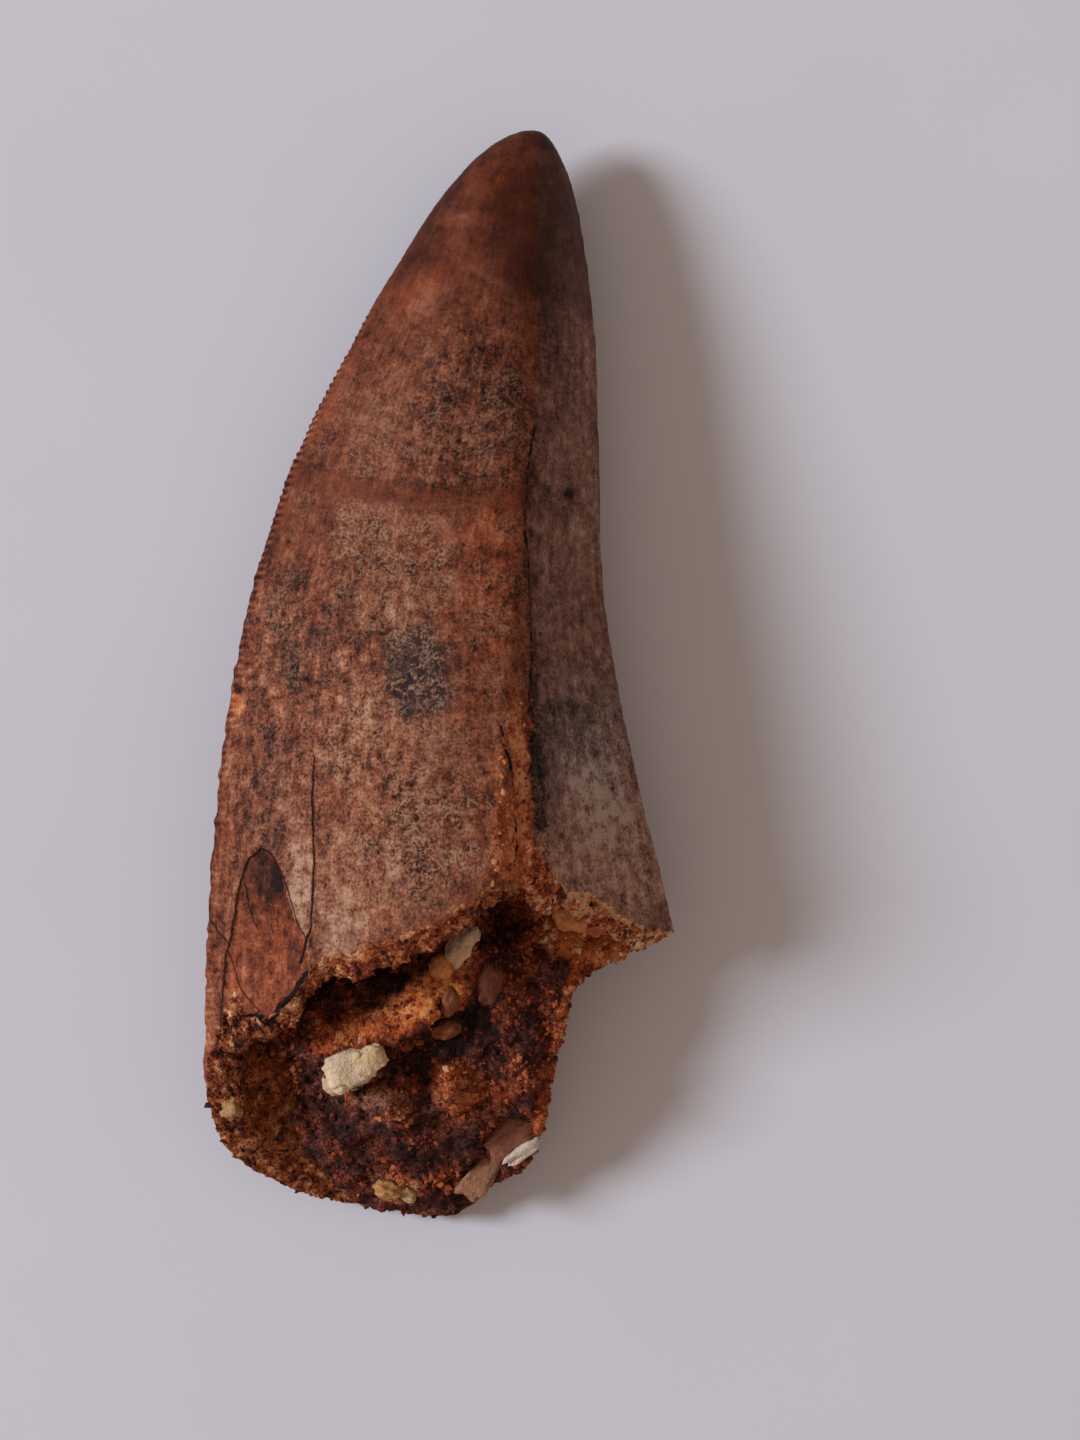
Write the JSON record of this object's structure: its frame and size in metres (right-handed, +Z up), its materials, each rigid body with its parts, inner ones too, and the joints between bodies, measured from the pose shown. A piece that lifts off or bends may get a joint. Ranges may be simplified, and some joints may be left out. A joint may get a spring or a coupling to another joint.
{
  "type": "fossil theropod tooth",
  "caption": "Curved, flattened fossil tooth with two cutting edges, lying flat, broken open at the base where the pebbly sediment that filled its pulp cavity shows.",
  "frame": {"origin": "middle of the bounding box on the surface that the tooth lies on", "axes": "+Y along the tooth from the broken base towards the tip, +Z up from the surface, +X from the convex front cutting edge to the back cutting edge"},
  "size_m": [0.0346, 0.0796, 0.0174],
  "materials": {
    "enamel_dentine": "satin, red-brown mineralised enamel with fine lengthwise fibres",
    "sediment": "rough, crumbly dark red-brown sandstone with pale pebbles"
  },
  "bodies": {
    "root": {"tooth": "enamel_dentine", "matrix": "sediment"}
  },
  "joints": []
}
